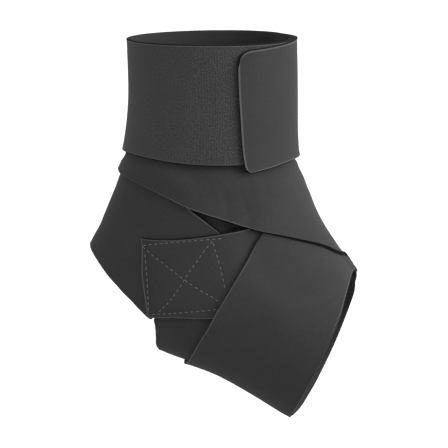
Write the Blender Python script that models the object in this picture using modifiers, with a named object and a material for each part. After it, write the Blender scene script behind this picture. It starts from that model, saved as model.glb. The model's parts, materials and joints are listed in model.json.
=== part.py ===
"""Cold compression wrap for an ankle, right way up on an unseen foot with the toes pointing down.

Every cloth piece lies on one imagined limb surface.  A place on that surface is an angle round the
limb (0 on the shin and instep, -90 on the lateral side, +90 on the medial side, 180 at the back of
the leg and under the sole) and a station along it (0 at the top rim, 10 at the toes).  A piece is a
band between two edge curves, held off the limb by the pieces that it covers.

Metres and degrees.  +Z is up the leg, +X is towards the toes, -Y is the lateral side, and the origin
is the middle of the ankle.
"""
import math

import bmesh
import bpy
import numpy as np
from mathutils import Vector

# Cloth, thread and gel
FABRIC = 0.0016             # neoprene with a knit face on both sides
LAYER_GAP = 0.0005          # clearance between one cloth layer and the next
CROSSING_GAP = 0.0009       # clearance under the strap that crosses over the other
HOOK = 0.0007               # moulded hook tape
PATCH = 0.0008              # loop tape
TIGHT_GAP = 0.0003          # clearance beside thread, hook tape and films
THREAD = 0.0005             # sewing thread
CELL = 0.0060               # longest side of a cell in a cloth grid

# Sections of the limb, each joining a front point to a back point:
# front x, front z, back x, back z, half width, flattening towards the back
SECTIONS = np.array((
    (0.0370, 0.1290, -0.0412, 0.1290, 0.0360, 0.12),    # 0 top rim
    (0.0374, 0.0950, -0.0406, 0.0950, 0.0354, 0.14),    # 1 middle of the cuff
    (0.0388, 0.0620, -0.0448, 0.0620, 0.0354, 0.16),    # 2 bottom of the cuff
    (0.0460, 0.0450, -0.0520, 0.0460, 0.0365, 0.20),    # 3 above the malleoli
    (0.0515, 0.0320, -0.0608, 0.0252, 0.0375, 0.25),    # 4 malleoli
    (0.0565, 0.0230, -0.0685, 0.0050, 0.0385, 0.30),    # 5 back of the heel
    (0.0615, 0.0153, -0.0565, -0.0260, 0.0390, 0.25),   # 6 bare heel
    (0.0660, 0.0083, -0.0298, -0.0435, 0.0400, 0.20),   # 7 rear of the sole
    (0.0705, 0.0030, 0.0074, -0.0567, 0.0410, 0.13),    # 8 arch
    (0.0755, -0.0015, 0.0427, -0.0762, 0.0420, 0.07),   # 9 toe edge
    (0.0840, -0.0090, 0.0580, -0.0840, 0.0430, 0.00),   # 10 past the toe edge
))
SQUARENESS = 2.2            # exponent of the sections' superellipse

# Clearance round the lines where a flap or a strap folds
FOLD_GAP = 0.0012
CUFF_FOLD = 95.0            # angle of the medial fold of the cuff
SHIN_FOLD = -5.0            # angle of the fold that the closure tab opens on
STRAP_FOLD = (50.0, 64.0)   # angles of the strap tab's fold, at its top and bottom edge
CUFF_LIFT = 0.0049          # height of the cuff, which bridges what it covers

# Gel packs and the sleeves they stand in
GEL_BEND = 0.060            # radius of a sleeve's outer face
GEL_REACH = 0.033           # from the leg's middle plane to a sleeve's outer face
GEL_MIDDLE = -0.001         # x of the packs' middle
GEL_HALF_WIDTH = 0.0230
GEL_LOW = -0.0140
GEL_HIGH = 0.0640
GEL_CORE = 0.0040
FILM = 0.0003
SLEEVE_WALL = 0.0007
SLEEVE_HIGH = 0.0560
MOUTH_TAPE = 0.0060         # height of the tape round a sleeve's mouth

BLACK_KNIT = ("black_knit", (0.055, 0.055, 0.057, 1.0), 0.85)
LOOP_KNIT = ("loop_knit", (0.050, 0.050, 0.052, 1.0), 0.95)
HOOK_TAPE = ("hook_tape", (0.020, 0.020, 0.021, 1.0), 0.60)
SLEEVE_MESH = ("sleeve_mesh", (0.012, 0.012, 0.013, 1.0), 0.90)
GREY_THREAD = ("grey_thread", (0.250, 0.250, 0.255, 1.0), 0.70)
BLUE_GEL = ("blue_gel", (0.020, 0.160, 0.420, 1.0), 0.30)
CLEAR_FILM = ("clear_film", (0.550, 0.650, 0.750, 1.0), 0.20)


# ---------------------------------------------------------------- the limb surface

def section_at(station):
    """Catmull-Rom interpolation of SECTIONS along the limb."""
    last = len(SECTIONS) - 1
    station = np.clip(np.asarray(station, float), 0.0, last)
    i = np.clip(np.floor(station).astype(int), 0, last - 1)
    u = (station - i)[..., None]
    ends = (2 * SECTIONS[0] - SECTIONS[1], 2 * SECTIONS[-1] - SECTIONS[-2])
    rows = np.vstack((ends[0], SECTIONS, ends[1]))
    a, b, c, d = rows[i], rows[i + 1], rows[i + 2], rows[i + 3]
    return 0.5 * (2 * b + (c - a) * u + (2 * a - 5 * b + 4 * c - d) * u**2
                  + (3 * b - a - 3 * c + d) * u**3)


def skin(angle, station):
    """Point on the limb surface, the inside face of the lowest cloth layer."""
    angle, station = np.broadcast_arrays(np.radians(angle), station)
    row = section_at(station)
    cosine, sine = np.cos(angle), np.sin(angle)
    along = np.sign(cosine) * np.abs(cosine) ** (2 / SQUARENESS)
    across = np.sign(sine) * np.abs(sine) ** (2 / SQUARENESS)
    taper = 1 - row[..., 5] * (0.5 - 0.5 * along) ** 2
    front, back = row[..., 0:2], row[..., 2:4]
    x_z = 0.5 * (front + back) + 0.5 * (front - back) * along[..., None]
    return np.stack((x_z[..., 0], row[..., 4] * across * taper, x_z[..., 1]), -1)


def steps(angle, station):
    """Change of the skin point for one degree and for one station."""
    for_degree = (skin(angle + 0.5, station) - skin(angle - 0.5, station))
    for_station = (skin(angle, station + 0.05) - skin(angle, station - 0.05)) / 0.1
    return for_degree, for_station


def surface(angle, station, height):
    """Point at a height above the skin."""
    for_degree, for_station = steps(angle, station)
    normal = np.cross(for_station, for_degree)
    normal /= np.linalg.norm(normal, axis=-1, keepdims=True)
    return skin(angle, station) + normal * np.asarray(height)[..., None]


# ---------------------------------------------------------------- bands of cloth

def edge_curve(points):
    """Smooth curve of station over angle through a few (angle, station) points."""
    angles = np.array([p[0] for p in points], float)
    stations = np.array([p[1] for p in points], float)
    slopes = np.gradient(stations, angles)

    def at(angle):
        angle = np.clip(angle, angles[0], angles[-1])
        i = np.clip(np.searchsorted(angles, angle, side="right") - 1, 0, len(angles) - 2)
        width = angles[i + 1] - angles[i]
        u = (angle - angles[i]) / width
        return ((2 * u**3 - 3 * u**2 + 1) * stations[i] + (u**3 - 2 * u**2 + u) * width * slopes[i]
                + (3 * u**2 - 2 * u**3) * stations[i + 1] + (u**3 - u**2) * width * slopes[i + 1])

    return at


def mirrored(points):
    """The same edge on the other side of the limb."""
    return [(-angle, station) for angle, station in reversed(points)]


def smoothstep(x):
    x = np.clip(x, 0.0, 1.0)
    return x * x * (3 - 2 * x)


class Band:
    """A strip of cloth between two edge curves and two end lines, lying over other bands."""

    HELD_OUT = 0.007        # the cloth stays at full height this far past an edge that it covers
    DRAPE = 0.012           # and comes down over this distance

    def __init__(self, name, start, end, top, bottom, over=(), thickness=FABRIC, gap=LAYER_GAP,
                 lift=0.0, corner_start=0.0, corner_end=0.0):
        self.name = name
        self.start = start if isinstance(start, tuple) else (start, start)
        self.end = end if isinstance(end, tuple) else (end, end)
        self.top = edge_curve(top)
        self.bottom = edge_curve(bottom)
        self.over = over
        self.thickness = thickness
        self.gap = gap
        self.least_lift = lift
        self.corner_start = corner_start
        self.corner_end = corner_end

    def reach(self, angle, station):
        """Distance inside the outline, negative outside it, taking the nearest turn of the angle."""
        return np.maximum.reduce([self._reach(angle + turn, station) for turn in (-360, 0, 360)])

    def _reach(self, angle, station):
        for_degree, for_station = steps(angle, station)
        degree = np.linalg.norm(for_degree, axis=-1)
        metre = np.linalg.norm(for_station, axis=-1)
        top, bottom = self.top(angle), self.bottom(angle)
        top_slope = (self.top(angle + 1) - self.top(angle - 1)) / 2 * metre / degree
        bottom_slope = (self.bottom(angle + 1) - self.bottom(angle - 1)) / 2 * metre / degree
        v = np.clip((station - top) / (bottom - top), 0, 1)
        start = self.start[0] + (self.start[1] - self.start[0]) * v
        end = self.end[0] + (self.end[1] - self.end[0]) * v
        return np.minimum.reduce((
            (station - top) * metre / np.hypot(1, top_slope),
            (bottom - station) * metre / np.hypot(1, bottom_slope),
            (angle - start) * degree,
            (end - angle) * degree))

    def lift(self, angle, station):
        """Height of the inside face above the skin."""
        height = np.full(np.broadcast(angle, station).shape, self.least_lift)
        for lower in self.over:
            cover = smoothstep((lower.reach(angle, station) + self.HELD_OUT + self.DRAPE) / self.DRAPE)
            clear = lower.lift(angle, station) + lower.thickness + self.gap
            height = np.maximum(height, cover * clear)
        return height

    def place(self, u, v):
        """Angle and station at a fraction along and a fraction across the band."""
        start = self.start[0] + (self.start[1] - self.start[0]) * v
        end = self.end[0] + (self.end[1] - self.end[0]) * v
        angle = start + (end - start) * u
        return angle, self.top(angle) + (self.bottom(angle) - self.top(angle)) * v

    def size(self):
        """Length along the middle and greatest width."""
        u = np.linspace(0, 1, 60)
        middle = skin(*self.place(u, np.full(60, 0.5)))
        width = np.linalg.norm(skin(*self.place(u, np.zeros(60))) - skin(*self.place(u, np.ones(60))),
                               axis=-1)
        return np.linalg.norm(np.diff(middle, axis=0), axis=-1).sum(), width.max()

    def grid(self):
        """Angles, stations and heights of the cloth's inside face, rounded at its free corners."""
        length, width = self.size()
        columns = max(3, math.ceil(length / CELL) + 1)
        u = np.linspace(0, 1, columns)
        turn = 1 - np.cos(np.radians((0, 30, 60)))
        if self.corner_start:
            round_part = turn * self.corner_start / length
            u = np.concatenate((round_part, u[u > self.corner_start / length * 0.9]))
        if self.corner_end:
            round_part = turn * self.corner_end / length
            u = np.concatenate((u[u < 1 - self.corner_end / length * 0.9], 1 - round_part[::-1]))
        v = np.linspace(0, 1, max(3, math.ceil(width / CELL) + 1))
        u, v = np.meshgrid(u, v, indexing="ij")
        inset = np.zeros_like(u)
        for radius, far in ((self.corner_start, u * length), (self.corner_end, (1 - u) * length)):
            if radius:
                left = np.clip(radius - far, 0, radius)
                inset = np.maximum(inset, radius - np.sqrt(radius**2 - left**2))
        v = v * (1 - 2 * inset / width) + inset / width
        angle, station = self.place(u, v)
        return angle, station, self.lift(angle, station)


# The two long straps have one top edge and its mirror image, and bottom edges of their own.  Each rises
# from the sole, crosses the instep and goes on to the other side of the leg, the medial one on top.
STRAP_TOP_NEAR = [(-206, 7.44), (-180, 7.42), (-146, 7.40), (-104, 6.94), (-88, 6.46), (-76, 5.89),
                  (-64, 5.15), (-56, 4.46), (-48, 3.80), (-30, 2.85), (0, 1.80)]
LATERAL_BOTTOM = [(-206, 9.04), (-180, 9.06), (-146, 9.10), (-110, 9.29), (-85, 9.42), (-66, 9.45),
                  (-46, 9.41), (-32, 9.24), (-16, 9.08), (-8, 9.00), (0, 8.93), (8, 8.90), (14, 8.92),
                  (26, 9.02), (31, 8.40), (38, 6.40), (48, 5.00), (56, 4.50), (66, 4.15)]
MEDIAL_BOTTOM = [(-190, 2.30), (-150, 2.54), (-135, 2.63), (-114, 2.92), (-92, 3.38), (-78, 3.70),
                 (-66, 3.98), (-56, 4.28), (-46, 4.62), (-36, 5.03), (-26, 5.50), (-16, 6.07), (-8, 6.58),
                 (0, 7.06), (8, 7.48), (15, 7.68), (21, 7.80), (25, 8.10), (29, 8.85), (34, 9.30),
                 (40, 9.45), (48, 9.52), (66, 9.55), (90, 9.56), (120, 9.48), (146, 9.34), (180, 9.10)]
STRAP_TOP_FAR_SEWN = [(30, 1.30), (60, 1.05), (110, 0.85), (190, 0.75)]
STRAP_TOP_FAR_TAB = [(20, 2.02), (40, 2.10), (64, 2.12)]

PANEL_FRONT = 75            # angle of the panels' ends, on both sides of the instep
heel_panel = Band(
    "heel_panel", PANEL_FRONT, 360 - PANEL_FRONT,
    top=[(75, 1.60), (93, 1.50), (115, 1.30), (131, 1.15), (140, 1.00), (220, 1.00),
         (229, 1.25), (267, 3.44), (274, 3.78), (282, 4.24), (285, 4.50)],
    bottom=[(75, 6.30), (110, 6.14), (123, 6.16), (127, 6.24), (130, 5.86), (135, 5.56), (142, 5.30),
            (152, 4.97), (164, 4.76), (180, 4.66), (196, 4.76), (208, 4.97), (218, 5.30), (225, 5.56),
            (230, 5.86), (233, 6.24), (237, 6.16), (250, 6.14), (285, 6.30)])
arch_panel = Band(
    "arch_panel", PANEL_FRONT, 360 - PANEL_FRONT,
    top=[(75, 6.50), (110, 6.34), (119, 6.28), (125, 6.28), (128, 6.40), (138, 6.66), (150, 6.84),
         (165, 7.00), (180, 7.06), (195, 7.00), (210, 6.84), (222, 6.66), (232, 6.40), (235, 6.28),
         (241, 6.28), (250, 6.34), (285, 6.50)],
    bottom=[(75, 8.85), (180, 8.85), (285, 8.85)])
PANELS = (heel_panel, arch_panel)

BAND_TOP_HALF = [(-126, 4.28), (-94, 4.32), (-76, 4.18), (-56, 4.00), (-30, 3.65), (0, 3.40)]
BAND_BOTTOM_HALF = [(-126, 6.18), (-110, 6.44), (-98, 6.80), (-76, 7.20), (-40, 7.40), (0, 7.40)]
instep_band = Band(
    "instep_band", (-116.5, -127), (116.5, 127), over=PANELS,
    top=BAND_TOP_HALF + mirrored(BAND_TOP_HALF)[1:],
    bottom=BAND_BOTTOM_HALF + mirrored(BAND_BOTTOM_HALF)[1:])

strap_fold_degrees = 1.6    # half of the strap fold's gap, as an angle
lateral_strap = Band(
    "lateral_strap", -205, (STRAP_FOLD[0] - strap_fold_degrees, STRAP_FOLD[1] - strap_fold_degrees),
    over=(*PANELS, instep_band),
    top=STRAP_TOP_NEAR + STRAP_TOP_FAR_TAB, bottom=LATERAL_BOTTOM)
medial_strap = Band(
    "medial_strap", -188, 177, over=(*PANELS, instep_band, lateral_strap), gap=CROSSING_GAP,
    top=mirrored(STRAP_TOP_NEAR + STRAP_TOP_FAR_SEWN), bottom=MEDIAL_BOTTOM)

strap_landing_patch = Band(
    "strap_landing_patch", 97, 138, over=(heel_panel,), thickness=PATCH, gap=TIGHT_GAP,
    top=[(97, 3.38), (104, 2.96), (114, 2.60), (138, 2.55)], bottom=[(97, 4.02), (138, 3.98)])
strap_hook_pad = Band(
    "strap_hook_pad", 101, 134, over=(heel_panel, strap_landing_patch), thickness=HOOK, gap=TIGHT_GAP,
    top=[(101, 3.05), (108, 2.72), (134, 2.66)], bottom=[(101, 3.90), (134, 3.88)])
strap_tab = Band(
    "strap_tab", (STRAP_FOLD[0] + strap_fold_degrees, STRAP_FOLD[1] + strap_fold_degrees), 140,
    over=(heel_panel, instep_band, strap_landing_patch, strap_hook_pad), corner_end=0.014,
    top=[(50, 2.12), (64, 2.12), (90, 2.15), (120, 2.28), (140, 2.42)],
    bottom=[(50, 4.62), (66, 4.50), (80, 4.28), (100, 4.12), (140, 4.05)])

CUFF_TOP = [(-180, 0.03), (540, 0.03)]
CUFF_BOTTOM = [(-180, 1.90), (-110, 1.92), (12, 1.94), (180, 1.90)]
cuff_loop_band = Band("cuff_loop_band", -178.8, 12, top=CUFF_TOP, bottom=CUFF_BOTTOM, lift=CUFF_LIFT)
fold_degrees = math.degrees(FOLD_GAP / 0.045)
cuff_wrap_back = Band(
    "cuff_wrap_back", CUFF_FOLD + fold_degrees, 180, top=CUFF_TOP, bottom=CUFF_BOTTOM, lift=CUFF_LIFT)
cuff_flap = Band(
    "cuff_flap", SHIN_FOLD + fold_degrees, CUFF_FOLD - fold_degrees, over=(cuff_loop_band,),
    top=CUFF_TOP, bottom=[(-10, 1.98), (40, 1.94), (95, 1.92)], lift=CUFF_LIFT)
closure_hook_pad = Band(
    "closure_hook_pad", -56, -16, over=(cuff_loop_band,), thickness=HOOK, gap=TIGHT_GAP,
    top=[(-56, 0.30), (-16, 0.16)], bottom=[(-56, 1.90), (-16, 1.86)])
closure_tab = Band(
    "closure_tab", (-64, -57), SHIN_FOLD - fold_degrees, over=(cuff_loop_band, closure_hook_pad),
    lift=CUFF_LIFT + FABRIC + 2 * TIGHT_GAP + HOOK, corner_start=0.006,
    top=[(-64, 0.13), (-30, 0.07), (-5, 0.03)], bottom=[(-64, 2.10), (-40, 2.06), (-5, 1.98)])


# ---------------------------------------------------------------- making objects

def clear_scene():
    for item in list(bpy.data.objects):
        bpy.data.objects.remove(item, do_unlink=True)


def collection(name):
    made = bpy.data.collections.new(name)
    bpy.context.scene.collection.children.link(made)
    return made


def material(name, look):
    made = bpy.data.materials.new(f"{name}_{look[0]}")
    made.use_nodes = True
    shader = made.node_tree.nodes["Principled BSDF"]
    shader.inputs["Base Color"].default_value = look[1]
    shader.inputs["Roughness"].default_value = look[2]
    shader.inputs["Metallic"].default_value = 0.0
    made.diffuse_color = look[1]
    return made


def add_object(name, data, look, parent=None):
    made = bpy.data.objects.new(name, data)
    PARTS.objects.link(made)
    data.materials.append(material(name, look))
    if parent is not None:
        made.parent = parent
        made.matrix_parent_inverse = parent.matrix_world.inverted()
    return made


def joint_empty(name, place):
    """An empty on a joint's axis, which the pieces of that body hang from."""
    made = bpy.data.objects.new(name, None)
    made.location = place
    made.empty_display_size = 0.02
    PARTS.objects.link(made)
    bpy.context.view_layer.update()
    return made


def cloth(band, look, parent=None):
    """A band as an open grid of faces, thickened outwards."""
    angle, station, height = band.grid()
    points = surface(angle, station, height)
    columns, rows = angle.shape
    mesh = bpy.data.meshes.new(band.name)
    cage = bmesh.new()
    verts = [[cage.verts.new(points[i, j]) for j in range(rows)] for i in range(columns)]
    for i in range(columns - 1):
        for j in range(rows - 1):
            cage.faces.new((verts[i][j], verts[i][j + 1], verts[i + 1][j + 1], verts[i + 1][j]))
    cage.to_mesh(mesh)
    cage.free()
    mesh.shade_smooth()
    made = add_object(band.name, mesh, look, parent)
    thicken = made.modifiers.new("thickness", "SOLIDIFY")
    thicken.thickness = band.thickness
    thicken.offset = 1.0
    return made


def box_mesh(name, sizes_places):
    """One mesh of boxes, each given as its size, place and turn about Z, joined into one body."""
    pieces = []
    for size, place, turn in sizes_places:
        bpy.ops.mesh.primitive_cube_add(size=1.0, location=place, rotation=(0, 0, turn))
        piece = bpy.context.object
        piece.scale = size
        pieces.append(piece)
    first = pieces[0]
    for other in pieces[1:]:
        union = first.modifiers.new("join", "BOOLEAN")
        union.operation = "UNION"
        union.object = other
    bpy.context.view_layer.update()
    graph = bpy.context.evaluated_depsgraph_get()
    mesh = bpy.data.meshes.new_from_object(first.evaluated_get(graph))
    mesh.transform(first.matrix_world)
    mesh.name = name
    for piece in pieces:
        bpy.data.objects.remove(piece, do_unlink=True)
    return mesh


def stitched_box(name, band, corners, width, height, cross, look=GREY_THREAD):
    """Thread sewn round a rectangle, with or without a cross in it, laid on a band.

    corners holds the (angle, station) of the rectangle's top left, top right, bottom left and
    bottom right.
    """
    frame = [((width, THREAD * 1.6, THREAD), (0, side * height / 2, 0), 0.0) for side in (-1, 1)]
    frame += [((THREAD * 1.6, height, THREAD), (side * width / 2, 0, 0), 0.0) for side in (-1, 1)]
    if cross:
        diagonal = math.hypot(width, height)
        turn = math.atan2(height, width)
        frame += [((diagonal, THREAD * 1.6, THREAD), (0, 0, 0), side * turn) for side in (-1, 1)]
    mesh = box_mesh(name, frame)
    flat = bmesh.new()
    flat.from_mesh(mesh)
    for axis, extent in ((Vector((1, 0, 0)), width), (Vector((0, 1, 0)), height)):
        cuts = math.ceil(extent / CELL)
        for k in range(1, cuts):
            every = flat.verts[:] + flat.edges[:] + flat.faces[:]
            where = axis * (extent * (k / cuts - 0.5) + THREAD * 0.2)
            bmesh.ops.bisect_plane(flat, geom=every, plane_co=where, plane_no=axis)
    bmesh.ops.remove_doubles(flat, verts=flat.verts, dist=0.000001)
    (top_left, top_right), (bottom_left, bottom_right) = corners
    for vert in flat.verts:
        u = vert.co.x / width + 0.5
        v = 0.5 - vert.co.y / height
        upper = np.array(top_left) + (np.array(top_right) - np.array(top_left)) * u
        lower = np.array(bottom_left) + (np.array(bottom_right) - np.array(bottom_left)) * u
        angle, station = upper + (lower - upper) * v
        on_band = band.lift(angle, station) + band.thickness + TIGHT_GAP + THREAD
        vert.co = surface(angle, station, on_band + vert.co.z)
    flat.to_mesh(mesh)
    flat.free()
    return add_object(name, mesh, look)


def zigzag_thread(name, band, angle, half_width, first, last, turns, look=GREY_THREAD):
    """A zigzag seam down a band, as one thread."""
    data = bpy.data.curves.new(name, "CURVE")
    data.dimensions = "3D"
    data.bevel_depth = THREAD / 2
    data.bevel_resolution = 2
    data.use_fill_caps = True
    path = data.splines.new("POLY")
    path.points.add(turns)
    for k in range(turns + 1):
        side = half_width if k % 2 else -half_width
        place = (angle + side, first + (last - first) * k / turns)
        height = band.lift(*place) + band.thickness + THREAD * 1.5
        path.points[k].co = (*surface(*place, height), 1.0)
    return add_object(name, data, look)


def arc_block(name, outer, inner, half_width, low, high, side):
    """A slab bent about a vertical axis, between two faces measured in from the sleeve's outer face."""
    centre_y = side * (GEL_REACH - GEL_BEND)
    outline = []
    for depth, direction in ((outer, 1), (inner, -1)):
        radius = GEL_BEND - depth
        half_turn = math.asin(half_width / radius)
        for k in range(7):
            turn = direction * half_turn * (k / 3 - 1)
            outline.append((GEL_MIDDLE + radius * math.sin(turn), centre_y + side * radius * math.cos(turn)))
    data = bpy.data.curves.new(name, "CURVE")
    data.dimensions = "2D"
    data.fill_mode = "BOTH"
    data.extrude = (high - low) / 2
    path = data.splines.new("POLY")
    path.points.add(len(outline) - 1)
    for point, (x, y) in zip(path.points, outline):
        point.co = (x, y, 0.0, 1.0)
    path.use_cyclic_u = True
    outline_object = bpy.data.objects.new(name, data)
    outline_object.location.z = (high + low) / 2
    bpy.context.scene.collection.objects.link(outline_object)
    bpy.context.view_layer.update()
    graph = bpy.context.evaluated_depsgraph_get()
    mesh = bpy.data.meshes.new_from_object(outline_object.evaluated_get(graph))
    mesh.transform(outline_object.matrix_world)
    bpy.data.objects.remove(outline_object, do_unlink=True)
    solid = bmesh.new()
    solid.from_mesh(mesh)
    bmesh.ops.remove_doubles(solid, verts=solid.verts, dist=0.00002)
    bmesh.ops.recalc_face_normals(solid, faces=solid.faces)
    solid.to_mesh(mesh)
    solid.free()
    mesh.materials.clear()
    return mesh


def gel_pack_and_sleeve(side_name, side):
    """One sleeve sewn inside the wrap, its mouth tape, and the gel pack that lifts out of it."""
    pack_outer = SLEEVE_WALL + TIGHT_GAP
    core_outer = pack_outer + FILM + TIGHT_GAP
    back_outer = core_outer + GEL_CORE + TIGHT_GAP
    cavity_inner = back_outer + FILM + TIGHT_GAP
    rim = 0.0012
    sleeve_half = GEL_HALF_WIDTH + TIGHT_GAP + rim + SLEEVE_WALL

    bag = arc_block(f"gel_sleeve_{side_name}", 0.0, cavity_inner + SLEEVE_WALL, sleeve_half,
                    GEL_LOW - 2 * SLEEVE_WALL, SLEEVE_HIGH, side)
    sleeve = add_object(f"gel_sleeve_{side_name}", bag, SLEEVE_MESH)
    hollow = arc_block(f"hollow_{side_name}", SLEEVE_WALL, cavity_inner, sleeve_half - SLEEVE_WALL,
                       GEL_LOW - TIGHT_GAP, SLEEVE_HIGH + 0.01, side)
    cutter = bpy.data.objects.new(f"hollow_{side_name}", hollow)
    cutter.hide_render = True
    cutter.display_type = "WIRE"
    CUTTERS.objects.link(cutter)
    cut = sleeve.modifiers.new("hollow", "BOOLEAN")
    cut.operation = "DIFFERENCE"
    cut.object = cutter

    tape_outer = cavity_inner + SLEEVE_WALL + TIGHT_GAP
    tape = arc_block(f"sleeve_mouth_tape_{side_name}", tape_outer, tape_outer + SLEEVE_WALL,
                     sleeve_half, SLEEVE_HIGH - MOUTH_TAPE, SLEEVE_HIGH, side)
    add_object(f"sleeve_mouth_tape_{side_name}", tape, SLEEVE_MESH)

    lift_axis = joint_empty(f"gel_pack_{side_name}_slide", (GEL_MIDDLE, side * GEL_REACH, GEL_LOW))
    sheets = (("gel_front_film", pack_outer, FILM, rim), ("gel_core", core_outer, GEL_CORE, 0.0),
              ("gel_back_film", back_outer, FILM, rim))
    for kind, outer, thickness, edge in sheets:
        mesh = arc_block(f"{kind}_{side_name}", outer, outer + thickness, GEL_HALF_WIDTH + edge - 0.001,
                         GEL_LOW + 0.002 - edge, GEL_HIGH - 0.002 + edge, side)
        add_object(f"{kind}_{side_name}", mesh, BLUE_GEL if kind == "gel_core" else CLEAR_FILM, lift_axis)


# ---------------------------------------------------------------- the wrap

clear_scene()
PARTS = collection("cold_compression_wrap")
CUTTERS = collection("cutters")

for panel in (heel_panel, arch_panel, instep_band, lateral_strap, medial_strap, cuff_wrap_back):
    cloth(panel, BLACK_KNIT)
cloth(cuff_loop_band, LOOP_KNIT)
cloth(strap_landing_patch, LOOP_KNIT)

cuff_fold_axis = joint_empty("cuff_flap_hinge", surface(CUFF_FOLD, 1.0, CUFF_LIFT + FABRIC))
cloth(cuff_flap, BLACK_KNIT, cuff_fold_axis)
shin_height = float(closure_tab.lift(SHIN_FOLD, 1.0)) + FABRIC
tab_fold_axis = joint_empty("closure_tab_hinge", surface(SHIN_FOLD, 1.0, shin_height))
cloth(closure_tab, BLACK_KNIT, tab_fold_axis)
cloth(closure_hook_pad, HOOK_TAPE, tab_fold_axis)

strap_ends = []
for angle, edge in zip(STRAP_FOLD, (strap_tab.top, strap_tab.bottom)):
    station = float(edge(angle))
    strap_ends.append(surface(angle, station, float(strap_tab.lift(angle, station)) + FABRIC))
strap_fold_axis = joint_empty("strap_tab_hinge", (strap_ends[0] + strap_ends[1]) / 2)
cloth(strap_tab, BLACK_KNIT, strap_fold_axis)
cloth(strap_hook_pad, HOOK_TAPE, strap_fold_axis)

BOX_CORNERS = (((-113, 4.56), (-78, 4.42)), ((-120, 6.06), (-94, 6.28)))
BOX_CORNERS_MEDIAL = (((78, 4.42), (113, 4.56)), ((94, 6.28), (120, 6.06)))
stitched_box("box_stitch_lateral", instep_band, BOX_CORNERS, 0.042, 0.037, cross=True)
stitched_box("box_stitch_medial", instep_band, BOX_CORNERS_MEDIAL, 0.042, 0.037, cross=True)
SOLE_LAP = (((158, 7.62), (174, 7.62)), ((158, 8.92), (174, 8.92)))
stitched_box("sole_lap_stitch", medial_strap, SOLE_LAP, 0.012, 0.050, cross=False)
zigzag_thread("cuff_back_stitch", cuff_wrap_back, 180.6, 2.6, 0.12, 1.82, 26)

gel_pack_and_sleeve("lateral", -1)
gel_pack_and_sleeve("medial", 1)
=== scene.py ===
"""Looks of the cold compression wrap: fine cloth, stitching, hook tape, gel packs, light and camera.

The wrap's cloth lies on one imagined limb surface.  A place on that surface is an angle round the
limb (0 on the shin and instep, -90 on the lateral side, +90 on the medial side, 180 at the back of
the leg and under the sole) and a station along it (0 at the top rim, 10 at the toes).  Each piece of
cloth is a band between two edge curves, and lies over the bands below it.  Metres and degrees.
"""
import copy
import json
import math

import bmesh
import bpy
import numpy as np
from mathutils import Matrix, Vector


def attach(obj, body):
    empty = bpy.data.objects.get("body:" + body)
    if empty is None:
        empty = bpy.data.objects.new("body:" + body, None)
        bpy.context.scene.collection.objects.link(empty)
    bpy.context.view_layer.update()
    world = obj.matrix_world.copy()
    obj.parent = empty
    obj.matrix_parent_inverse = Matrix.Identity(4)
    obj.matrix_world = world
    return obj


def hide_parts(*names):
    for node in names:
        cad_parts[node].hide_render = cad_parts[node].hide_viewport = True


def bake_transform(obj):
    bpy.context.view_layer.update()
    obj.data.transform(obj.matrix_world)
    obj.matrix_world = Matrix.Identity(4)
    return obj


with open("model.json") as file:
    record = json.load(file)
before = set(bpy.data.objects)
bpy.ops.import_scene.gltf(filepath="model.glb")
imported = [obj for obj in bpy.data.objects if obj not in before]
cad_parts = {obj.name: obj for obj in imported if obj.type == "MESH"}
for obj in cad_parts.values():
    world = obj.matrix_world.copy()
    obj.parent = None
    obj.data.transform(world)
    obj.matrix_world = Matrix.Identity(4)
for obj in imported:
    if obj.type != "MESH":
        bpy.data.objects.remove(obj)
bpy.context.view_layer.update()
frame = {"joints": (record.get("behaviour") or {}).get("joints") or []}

# Cloth, thread and gel
CLOTH = 0.0017  # neoprene with a knit face on both sides
LAYER_GAP = 0.0004  # air between one layer and the next
HOOK_BASE = 0.0004  # hook tape's backing
HOOK_TALL = 0.0006  # the hooks on it
PATCH = 0.0008  # loop patch
CELL = 0.0013  # side of a cell in a cloth mesh
FINE_CELL = 0.0008  # the same where stitching dimples the cloth
EDGE_CELL = 0.00095  # width of the cells along a cut edge
EDGE_ROUND = 0.00042  # rounding of a cut edge
CORNER_CELL = 0.00085  # the first cell in from a rounded corner
EDGE_CURL = 0.00035  # how far a cut edge curls away from what is under it
EDGE_CURL_WIDTH = 0.0012
THIN_END = 0.30  # share of its thickness that a sewn-down end keeps
THIN_END_LENGTH = 0.006  # distance over which it comes to that
THREAD = 0.00040
STITCH = 0.0021  # length of one stitch
STITCH_PITCH = 0.0033
LINE_POINTS = 90  # points along a row of stitches
DIMPLE = 0.00022  # how far a row of stitches pulls the cloth down
DIMPLE_WIDTH = 0.0010

# Sections of the limb, each joining a front point to a back point:
# front x, front z, back x, back z, half width, flattening towards the back
SECTIONS = np.array((
    (0.0370, 0.1290, -0.0412, 0.1290, 0.0360, 0.12),  # 0 top rim
    (0.0374, 0.0950, -0.0406, 0.0950, 0.0354, 0.14),  # 1 middle of the cuff
    (0.0388, 0.0620, -0.0448, 0.0620, 0.0354, 0.16),  # 2 bottom of the cuff
    (0.0460, 0.0450, -0.0520, 0.0460, 0.0365, 0.20),  # 3 above the malleoli
    (0.0515, 0.0320, -0.0608, 0.0252, 0.0375, 0.25),  # 4 malleoli
    (0.0565, 0.0230, -0.0685, 0.0050, 0.0385, 0.30),  # 5 back of the heel
    (0.0615, 0.0153, -0.0565, -0.0260, 0.0390, 0.25),  # 6 bare heel
    (0.0660, 0.0083, -0.0298, -0.0435, 0.0400, 0.20),  # 7 rear of the sole
    (0.0705, 0.0030, 0.0074, -0.0567, 0.0410, 0.13),  # 8 arch
    (0.0755, -0.0015, 0.0427, -0.0762, 0.0420, 0.07),  # 9 toe edge
    (0.0840, -0.0090, 0.0580, -0.0840, 0.0430, 0.00),  # 10 past the toe edge
))
SQUARENESS = 2.2  # exponent of the sections' superellipse
CUFF_END = 1.93  # station below which the limb is free of the tight cuff
PUFF_RISE = 0.30  # stations over which it swells there
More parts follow.
